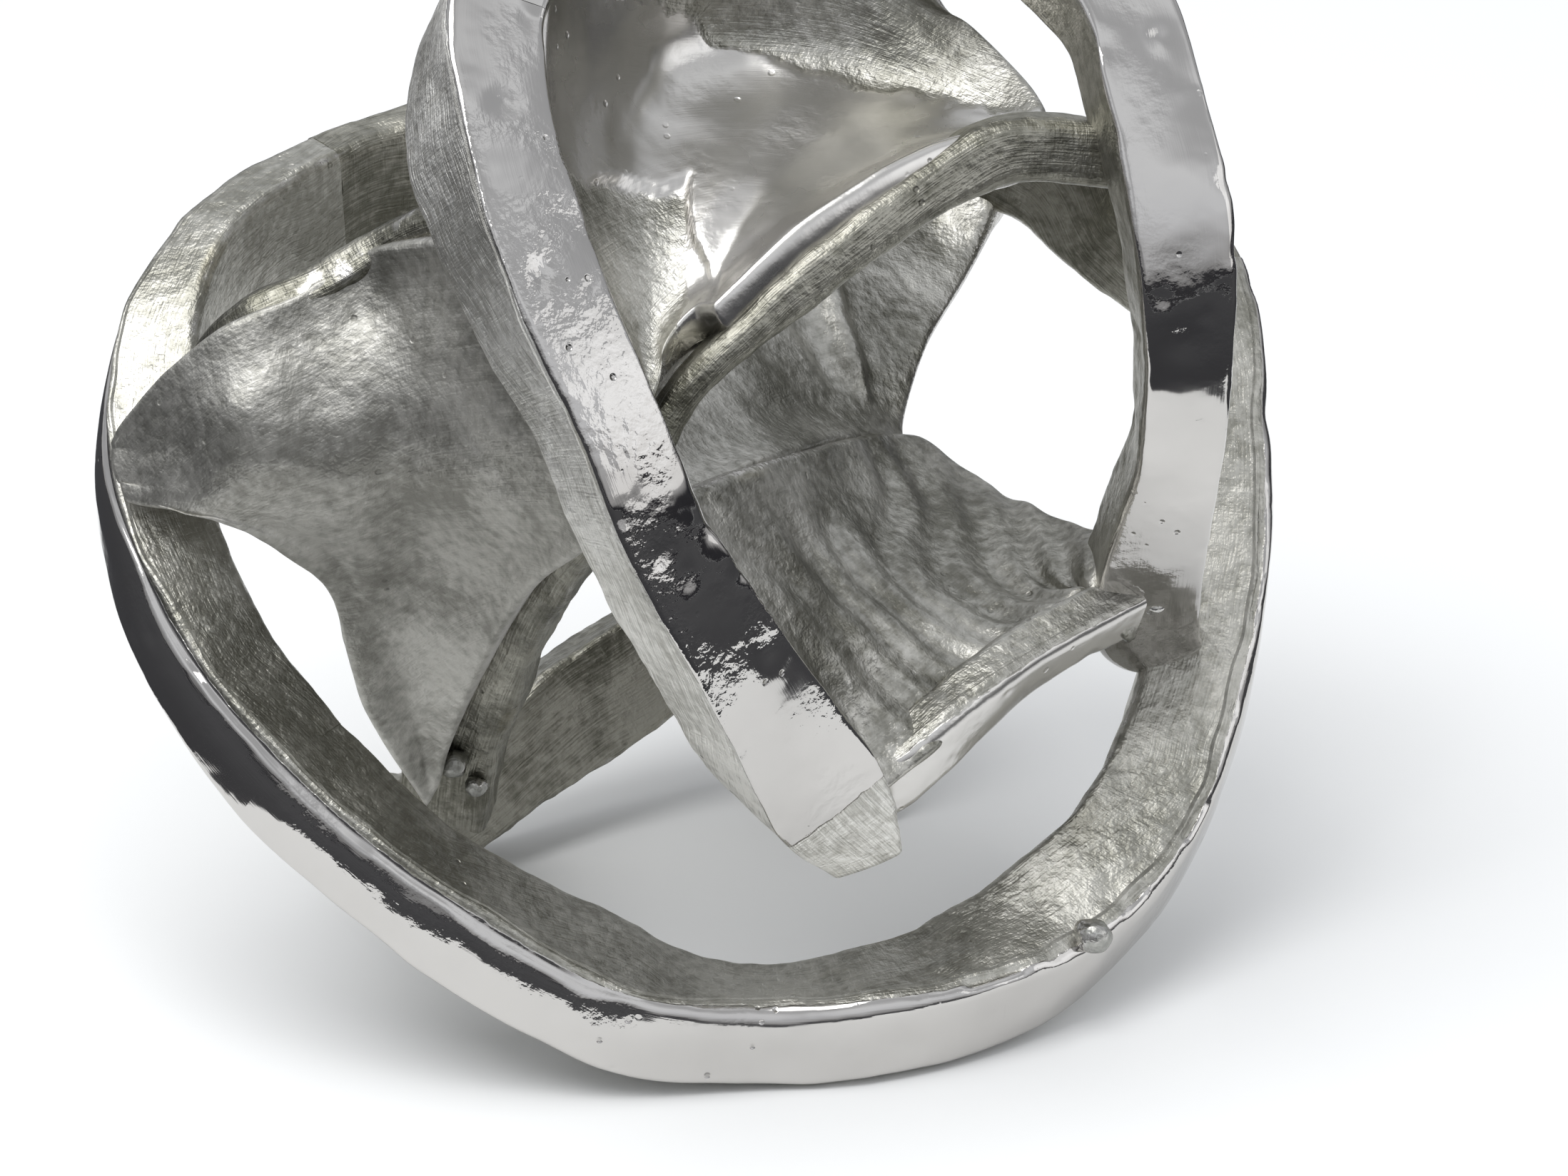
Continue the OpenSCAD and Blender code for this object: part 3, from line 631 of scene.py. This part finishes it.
POLISHED = cast_metal("polished_casting", (0.27, 0.265, 0.23), (0.56, 0.55, 0.505))
# This satin's colours are darkened to stand in for the shade that falls on the foot bar and rear leg: painted
# shade, carried by every part that wears it.
SHADED_SATIN = cast_metal("satin_casting", (0.15, 0.147, 0.118), (0.40, 0.39, 0.34), brush=0.8)
STRAP = cast_metal("strap_casting", (0.55, 0.54, 0.50), (0.92, 0.91, 0.87), satin_rough=0.5, brush=1.3,
                   pits=0.9, peel=0.3)
# A lighter copy of the web's cast metal, standing in for the light that falls on the left web: painted light.
LIT_WEB = cast_metal("web_lit_casting", (0.31, 0.305, 0.275), (0.63, 0.62, 0.58), satin_rough=0.55,
                      brush=0.3)
WEB = cast_metal("web_casting", (0.20, 0.196, 0.168), (0.58, 0.57, 0.53), brush=0.2)
FACED_WEB = cast_metal("web_faced_casting", (0.28, 0.275, 0.24), (0.58, 0.57, 0.53), (0.66, 0.645, 0.62),
                       gloss=0.26)
WELD = cast_metal("weld_metal", (0.3, 0.3, 0.28), (0.5, 0.5, 0.47), pits=0.9)
PAD = rubber("pad_rubber")


# ---------------------------------------------------------------- the pieces
# Strap dents: row, place across, radius and depth.
STRAP_DENTS = ((17.5, 1, 4, 0.8), (6.5, -3, 2.2, 0.8))


def seam(facts):
    """The ring's upper outer edge carries a torn weld seam, a ragged groove 1 mm deep that comes and goes, and
    the left arc's face leans back towards that edge as the square of the way across."""
    s, over = facts["s"], facts["across"] / facts["half"]
    lean = np.clip(0.25 - over, 0, None) ** 2 * ease(s, 13.6, 15) * (1 - ease(s, 19.2, 20.8)) * facts["face"]
    corner = np.exp(-((over + 0.93) / 0.07) ** 2 - ((facts["inward"] - 2.5) / 2.5) ** 2)
    torn = ease(lumps(facts["skin"], 5, 3, 31), -0.1, 0.25)
    where = ease(s % len(RING), 0.6, 1.4) * (1 - ease(s % len(RING), 6.2, 7))
    groove = corner * torn * where
    return -1.1 * groove - 1.5 * lean, facts["face"] * (1 - 0.8 * groove)


def wedge(facts):
    """The front strap's lowest end is left unpolished, and the right strap is polished on its outer side too.
    Each strap has one large dent in its face, a bell curve."""
    s, turned = facts["s"], facts["turned"]
    side = ease(-turned[:, 0], 0.3, 0.9)[None, :] * ease(s, 13.5, 14.5)
    move = 0 * s
    for row, place, radius, deep in STRAP_DENTS:
        off = ((s - row) * STRAP_ROW_GAP / radius) ** 2 + ((facts["across"] - place) / radius) ** 2
        move = move - deep * np.exp(-off) * facts["face"]
    return move, np.maximum(facts["face"] * ease(s, 0.9, 1.08), side)


def fold(facts, shine):
    """The upper web froze in two pours: above a wandering line the second lies proud of the first, and above a
    swooping line further up the skin is rough again and lies a little lower. Both lines give v for each u."""
    u, v, skin = facts["u"], facts["v"], facts["skin"]
    line = np.interp(u, [0.3, 0.7, 1.0, 1.45, 1.7, 1.9, 2.3], [1.9, 1.65, 1.4, 1.38, 0.8, 0.65, 0.3])
    above = v - line + 0.12 * lumps(skin, 5, 2, 51)
    step = 1.4 * ease(above, -0.04, 0.04) * ease(u, 0.35, 0.7) * (1 - ease(u, 1.7, 2.2))
    swoop = np.interp(u, [1.0, 1.25, 1.8, 2.4, 2.8], [3.6, 3.1, 2.75, 2.8, 3.0])
    past = v - swoop + 0.12 * lumps(skin, 6, 2, 52)
    step = step - 0.6 * ease(past, -0.08, 0.08) * ease(u, 0.9, 1.2)
    below = (1 - ease(above, -0.2, 0.1)) * (1 - ease(u, 1.4, 1.9))
    shine = shine - 0.45 * ease(past, -0.25, 0.25) - 0.4 * below
    return step * facts["front"], shine


def ribs(facts, shine):
    """The lower web has soft ribs slanting down it: a sine wave across the rows, bent by noise."""
    phase = 2.3 * facts["u"] + 0.7 * facts["v"] + 0.5 * lumps(facts["skin"], 25, 1, 61)
    return 0.8 * np.sin(2 * math.pi * phase) * (0.6 + 0.4 * lumps(facts["skin"], 18, 1, 62)), shine


def crease(facts, shine):
    """The rear wall has one raised crease slanting up it, with a hollow beside it, both bell curves."""
    off = facts["u"] - 2.4 - 0.5 * (1.7 - facts["v"]) + 0.08 * lumps(facts["skin"], 9, 2, 71)
    size = ease(facts["v"], 0.3, 0.7) * (1 - ease(facts["v"], 1.6, 2.1))
    move = 2.2 * np.exp(-(off / 0.16) ** 2) - 1.4 * np.exp(-((off + 0.4) / 0.2) ** 2)
    return size * move * facts["front"], shine


RING_RADII = (3.4, 1.8, 2.2, 2.4)
STRAP_RADII = (1.5, 1.8, 2.2, 2.2)
RIM_RADII = (3, 3, 2.4, 2.4)
LEG_RADII = (2.6, 2.6, 2.6, 2.6)
for name, span in (("ring_right", (2, 8)), ("ring_left", (14, 18)), ("ring_front", (18, 23))):
    settle(band(name + "_casting", RING, span, RING_WIDTH, RING_DEPTH, True, RING_RADII, crown=0.6, tilt=0.4,
                seed=1, sculpt=seam), POLISHED, "polished_casting", name)
settle(band("ring_rear_casting", RING, (8, 14), RING_WIDTH, RING_DEPTH, True, RING_RADII, crown=0.6, tilt=0.4,
            shine=0.25, grit=0.35, seed=1), SHADED_SATIN, "satin_casting", "ring_rear")
for name, span, ends in (("front_strap_lower", (0, 5), (1.5, 0)), ("front_strap_upper", (5, 9), (0, 0)),
                         ("crown_bar", (9, 14), (0, 0)), ("right_strap", (14, 22), (0, 5))):
    settle(band(name + "_casting", FRONT, span, STRAP_WIDTH, STRAP_DEPTH, False, STRAP_RADII, blunt=ends,
                seed=2, sculpt=wedge), STRAP if "front" in name else POLISHED, "polished_casting", name)
settle(band("rear_strap_casting", REAR, (0, 4), STRAP_WIDTH, STRAP_DEPTH, seed=3),
       POLISHED, "polished_casting", "rear_strap")
for name, rows, start, shine, metal in (("lower_rim", LOW_RIM, 0.35, 0.7, FACED_WEB),
                                        ("upper_rim", UP_RIM, 0, 0.3, SHADED_SATIN),
                                        ("left_rim", SIDE_RIM, 0, 0.42, SHADED_SATIN)):
    settle(band(name + "_casting", rows, (start, len(rows) - 1), RIM_WIDTH, RIM_DEPTH, radii=RIM_RADII,
                seed=4, shine=shine, dent=0.9, grit=0.25, wave=2.2), metal, "satin_casting", name)
# The bars and the rear leg wear the satin whose darker colours are painted shade.
for name, rows in (("diagonal_bar", BAR), ("foot_bar", FOOT), ("rear_leg", LEG)):
    settle(band(name + "_casting", rows, (0, len(rows) - 1), LEG_WIDTH, LEG_DEPTH, radii=LEG_RADII, seed=5,
                shine=0.0, dent=1.2, grit=0.35, wave=2), SHADED_SATIN, "satin_casting", name)
settle(sheet("upper_web_casting", UPPER_WEB, "lrbt", polish=0.72, dent=0.5, grit=0.08, seed=6, sculpt=fold),
       FACED_WEB, "web_casting", "upper_web")
settle(sheet("rear_wall_casting", REAR_WALL, "lbt", seed=7, sculpt=crease), WEB, "web_casting", "rear_wall")
settle(sheet("lower_web_casting", LOWER_WEB, "lrb", flare=4.5, seed=8, sculpt=ribs),
       WEB, "web_casting", "lower_web")
# The left web wears the lighter copy of the web metal, whose extra brightness is painted light.
settle(sheet("left_web_casting", LEFT_WEB, "lrbt", dent=0.7, seed=9), LIT_WEB, "web_casting", "left_web")
for k, (x, y, z, share) in enumerate(NUBS):
    settle(ball("weld_nub_%d" % (k + 1), (x, y, z), NUB_DIAMETER * share * NUB_SHARE, 20 + k),
           WELD, "weld_metal", "weld_nubs")


def heart(rows, s, closed, depth):
    """Middle of a band's section, halfway in from its polished face."""
    row = curve(rows, np.array([s]), closed)[0]
    return row[:3] - unit(row[3:6]) * depth * row[7] / 2


for name, spot in (("pad_front", heart(RING, 0.3, True, RING_DEPTH)),
                   ("pad_left", heart(FOOT, 0.5, False, LEG_DEPTH)),
                   ("pad_rear", heart(LEG, 4, False, LEG_DEPTH))):
    settle(disc(name, spot, PAD_DIAMETER, PAD_HEIGHT), PAD, "pad_rubber", "rest_pads")

# ---------------------------------------------------------------- floor, light and camera, in metres
FLOOR_EDGE, CARD_EDGE = 2, 1.9
CARD_FRONT, CARD_LEFT, CARD_RIGHT = -0.165, -0.175, 0.25
LIT_POINT = (0, 0, 0.1)


def level(name, low, high, up, material):
    """A level rectangle of the stage, from corner low to corner high."""
    mesh = bpy.data.meshes.new(name)
    (x0, y0), (x1, y1) = low, high
    mesh.from_pydata([(x0, y0, up), (x1, y0, up), (x1, y1, up), (x0, y1, up)], [], [(0, 1, 2, 3)])
    mesh.materials.append(material)
    thing = bpy.data.objects.new(name, mesh)
    bpy.context.scene.collection.objects.link(thing)
    return thing


level("floor", (-FLOOR_EDGE, -FLOOR_EDGE), (FLOOR_EDGE, FLOOR_EDGE), 0,
      Finish("floor").done(Base_Color=(0.90, 0.905, 0.90, 1), Roughness=0.7))

# Black cards lying on the table, which only reflections see.
CARD = Finish("black_card").done(Base_Color=(0.02, 0.02, 0.024, 1), Roughness=0.8)
for name, low, high in (("front_flag", (-CARD_EDGE, -CARD_EDGE), (CARD_EDGE, CARD_FRONT)),
                        ("right_flag", (CARD_RIGHT, CARD_FRONT), (CARD_EDGE, CARD_EDGE)),
                        ("left_flag", (-CARD_EDGE, CARD_FRONT), (CARD_LEFT, CARD_EDGE))):
    card = level(name, low, high, MM, CARD)
    card.visible_camera = card.visible_diffuse = card.visible_shadow = False


def softbox(name, spot, size, power):
    """A square area light that faces LIT_POINT."""
    light = bpy.data.lights.new(name, "AREA")
    light.size, light.energy = size, power
    lamp = bpy.data.objects.new(name, light)
    lamp.location = spot
    way = np.array(LIT_POINT) - np.array(spot)
    lamp.rotation_euler = (math.acos(-way[2] / np.linalg.norm(way)), 0, math.atan2(way[0], -way[1]) + math.pi)
    bpy.context.scene.collection.objects.link(lamp)


softbox("top_box", (-0.5, -0.3, 1.6), 1.4, 22)
softbox("right_box", (1.5, -0.5, 0.7), 1.0, 1.9)

# The studio's surroundings: dark below the horizon, brighter with height, with slow drifts of shade.
world = bpy.data.worlds.new("studio")
bpy.context.scene.world = world
studio = Finish("studio", world)
way = studio.add("TexCoord", {}, {}, 0)
height = studio.add("SeparateXYZ", {}, {0: way}, 2)
DARK = (0.03, 0.03, 0.035, 1)
SKY_STOPS = ((0.0, DARK), (0.50, DARK), (0.525, (0.42, 0.42, 0.43, 1)), (0.70, (0.80, 0.82, 0.86, 1)),
             (1.0, (0.95, 0.97, 1.0, 1)))
sky = studio.add("ValToRGB", {"stops": SKY_STOPS}, {0: height * 0.5 + 0.5})
drift = studio.between(studio.noise(1.6, 1.0, way), 0.35, 0.65)
sky = studio.mix(drift, studio.mix(0.45, sky, (0.06, 0.06, 0.065, 1)), sky)
seen = studio.add("LightPath", {}, {}, 0)
backdrop = studio.mix(seen, sky, (0.93, 0.94, 0.95, 1))
glow = studio.add("Background", {}, {"Color": backdrop, "Strength": 1.05})
world_out = studio.tree.nodes.new("ShaderNodeOutputWorld")
studio.tree.links.new(glow.socket, world_out.inputs["Surface"])

camera_data = bpy.data.cameras.new("camera")
camera = bpy.data.objects.new("camera", camera_data)
bpy.context.scene.collection.objects.link(camera)
bpy.context.scene.camera = camera
VIEW_DISTANCE = 1.3
AIM = (np.array([17.3, 0, 69.6]) - CENTRE) * MM  # the point that the camera looks at
camera.location = AIM + VIEW_DISTANCE * VIEW
camera.rotation_euler = (math.pi / 2 - VIEW_ELEVATION, 0, 0)
camera_data.sensor_width = 36
camera_data.lens = 164.0
camera_data.clip_end = 50
bpy.context.scene.view_settings.view_transform = "Standard"
